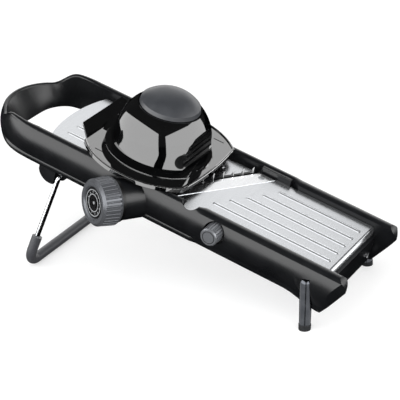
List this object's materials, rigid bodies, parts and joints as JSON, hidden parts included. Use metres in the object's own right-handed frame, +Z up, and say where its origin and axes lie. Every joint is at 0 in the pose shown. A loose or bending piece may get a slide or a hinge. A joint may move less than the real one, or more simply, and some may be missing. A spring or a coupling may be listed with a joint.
{
  "type": "mandoline slicer",
  "caption": "Kitchen mandoline on a folding wire stand: slanted blade, lowering runway plate, julienne comb and a domed sliding hand guard with a push plunger.",
  "frame": {"origin": "centre of the footprint box on the table", "axes": "+X forwards down the runway to the low front end, +Y to the far side away from the knobs, +Z up"},
  "size_m": [0.4066, 0.2011, 0.1859],
  "materials": {
    "satin_body": "satin charcoal moulded plastic",
    "plate_steel": "brushed stainless sheet",
    "blade_steel": "ground stainless blade",
    "screw_steel": "bright stainless",
    "black_ring": "black elastomer",
    "bush_plastic": "natural grey acetal",
    "leg_plastic": "satin charcoal moulded plastic",
    "foot_rubber": "grey rubber",
    "knob_grey": "fine-textured grey plastic",
    "disc_black": "black plastic",
    "wire_chrome": "bright chromed wire",
    "sleeve_rubber": "dark grey rubber sleeve",
    "guard_gloss": "high gloss black",
    "cap_grey": "satin dark grey"
  },
  "bodies": {
    "frame": {"near_rail": "satin_body", "far_rail": "satin_body", "handle_loop": "satin_body", "plate_strips": "satin_body", "front_crossbar": "satin_body", "crossbar_screws": "screw_steel", "rear_crossbar": "satin_body", "front_plate": "plate_steel", "blade_bed": "satin_body", "slicing_blade": "blade_steel", "blade_screws": "screw_steel", "plate_clamp": "satin_body", "knob_boss": "satin_body", "knob_gasket": "black_ring", "shaft_bushes": "bush_plastic", "stand_hinge_far": "satin_body", "stand_hinge_near": "satin_body", "front_leg_far": "leg_plastic", "front_leg_near": "leg_plastic", "leg_tip_far": "foot_rubber", "leg_tip_near": "foot_rubber"},
    "runway": {"runway_plate": "plate_steel", "runway_posts": "screw_steel", "lift_pads": "bush_plastic"},
    "thickness_drive": {"thickness_knob": "knob_grey", "knob_disc": "disc_black", "thickness_shaft": "screw_steel", "lift_cams": "bush_plastic"},
    "comb": {"julienne_teeth": "blade_steel", "comb_carrier": "satin_body"},
    "selector": {"selector_knob": "knob_grey", "selector_shaft": "screw_steel"},
    "stand": {"stand_wire": "wire_chrome", "stand_sleeve": "sleeve_rubber"},
    "carriage": {"guard_base": "guard_gloss", "guard_guides": "guard_gloss", "guard_dome": "guard_gloss"},
    "plunger": {"plunger_cap": "cap_grey", "plunger_sleeve": "guard_gloss", "presser_plate": "guard_gloss", "presser_prongs": "screw_steel"}
  },
  "joints": [
    {"name": "runway_lift", "type": "slide", "parent": "frame", "child": "runway", "axis": [0.274, 0, 0.9617], "range_m": [-0.0058, 0.002]},
    {"name": "thickness_turn", "type": "hinge", "parent": "frame", "child": "thickness_drive", "pos_m": [0.00026, -0.00729, 0.08793], "axis": [-0.4655, -0.875, 0.1326], "range_deg": [-67, 193.6]},
    {"name": "selector_turn", "type": "hinge", "parent": "frame", "child": "selector", "pos_m": [0.0696, -0.04989, 0.07806], "axis": [0, -1, 0], "range_deg": [-118, 0]},
    {"name": "comb_lift", "type": "slide", "parent": "frame", "child": "comb", "axis": [0.274, 0, 0.9617], "range_m": [-0.0052, 0]},
    {"name": "stand_fold", "type": "hinge", "parent": "frame", "child": "stand", "pos_m": [-0.10874, 0.01241, 0.09808], "axis": [0, -1, 0], "range_deg": [0, 70]},
    {"name": "carriage_slide", "type": "slide", "parent": "frame", "child": "carriage", "axis": [0.9617, 0, -0.274], "range_m": [-0.05, 0.15]},
    {"name": "plunger_lift", "type": "slide", "parent": "carriage", "child": "plunger", "axis": [0.274, 0, 0.9617], "range_m": [0, 0.026]}
  ],
  "couplings": [
    {"joint": "thickness_turn", "follows": "runway_lift", "rad_per_m": -581.78},
    {"joint": "comb_lift", "follows": "selector_turn", "m_per_rad": 0.002481}
  ]
}
